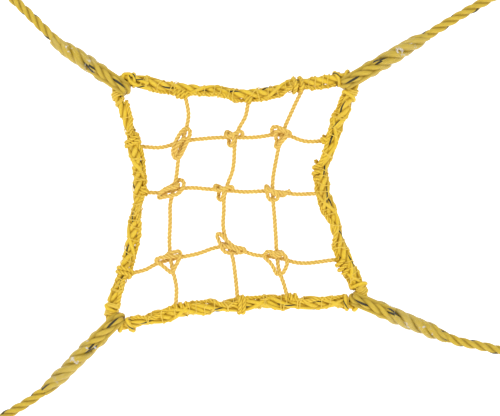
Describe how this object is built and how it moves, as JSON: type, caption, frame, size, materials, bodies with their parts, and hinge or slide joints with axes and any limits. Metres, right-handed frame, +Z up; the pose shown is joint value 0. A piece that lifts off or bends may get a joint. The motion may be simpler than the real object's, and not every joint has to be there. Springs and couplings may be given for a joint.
{
  "type": "cargo climbing net",
  "caption": "Four-sided climbing net of laid rope with a knotted mesh, lashed border and four spliced corner legs ending in thimble eyes.",
  "frame": {"origin": "middle of the object's overall box, in the plane of the net", "axes": "+Z up when the net hangs upright, +X to the right seen from the front, and the front faces -Y"},
  "size_m": [1.5706, 0.074, 1.2806],
  "materials": {
    "rope": "yellow three-strand laid polypropylene with a dark tracer yarn",
    "cord": "yellow three-strand laid polypropylene cord",
    "twine": "yellow whipping twine, drawn tight",
    "clear_sleeve": "clear glossy heat-shrunk film",
    "steel": "zinc-plated steel"
  },
  "bodies": {
    "net": {"border_rope": "rope", "selvedge_cord_top": "cord", "selvedge_cord_right": "cord", "selvedge_cord_bottom": "cord", "selvedge_cord_left": "cord", "lashing_top": "twine", "lashing_right": "twine", "lashing_bottom": "twine", "lashing_left": "twine", "corner_seizing_top_left": "twine", "corner_seizing_top_right": "twine", "corner_seizing_bottom_right": "twine", "corner_seizing_bottom_left": "twine", "mesh_cord_upright_1": "cord", "mesh_cord_upright_2": "cord", "mesh_cord_upright_3": "cord", "mesh_cord_cross_1": "cord", "mesh_cord_cross_2": "cord", "mesh_cord_cross_3": "cord"},
    "leg_top_left": {"leg_rope_top_left": "rope", "splice_sleeve_top_left": "clear_sleeve", "anchor_thimble_top_left": "steel", "eye_seizing_top_left": "twine"},
    "leg_top_right": {"leg_rope_top_right": "rope", "splice_sleeve_top_right": "clear_sleeve", "anchor_thimble_top_right": "steel", "eye_seizing_top_right": "twine"},
    "leg_bottom_right": {"leg_rope_bottom_right": "rope", "splice_sleeve_bottom_right": "clear_sleeve", "anchor_thimble_bottom_right": "steel", "eye_seizing_bottom_right": "twine"},
    "leg_bottom_left": {"leg_rope_bottom_left": "rope", "splice_sleeve_bottom_left": "clear_sleeve", "anchor_thimble_bottom_left": "steel", "eye_seizing_bottom_left": "twine"}
  },
  "joints": [
    {"name": "leg_swing_top_left", "type": "hinge", "parent": "net", "child": "leg_top_left", "pos_m": [-0.33147, 0, 0.31131], "axis": [0.5609, 0, 0.8279], "range_deg": [-90, 90]},
    {"name": "leg_swing_top_right", "type": "hinge", "parent": "net", "child": "leg_top_right", "pos_m": [0.25878, 0, 0.32201], "axis": [0.507, 0, -0.862], "range_deg": [-90, 90]},
    {"name": "leg_swing_bottom_right", "type": "hinge", "parent": "net", "child": "leg_bottom_right", "pos_m": [0.2833, 0, -0.23566], "axis": [-0.3899, 0, -0.9208], "range_deg": [-90, 90]},
    {"name": "leg_swing_bottom_left", "type": "hinge", "parent": "net", "child": "leg_bottom_left", "pos_m": [-0.34416, 0, -0.29122], "axis": [-0.7031, 0, 0.7111], "range_deg": [-90, 90]}
  ]
}
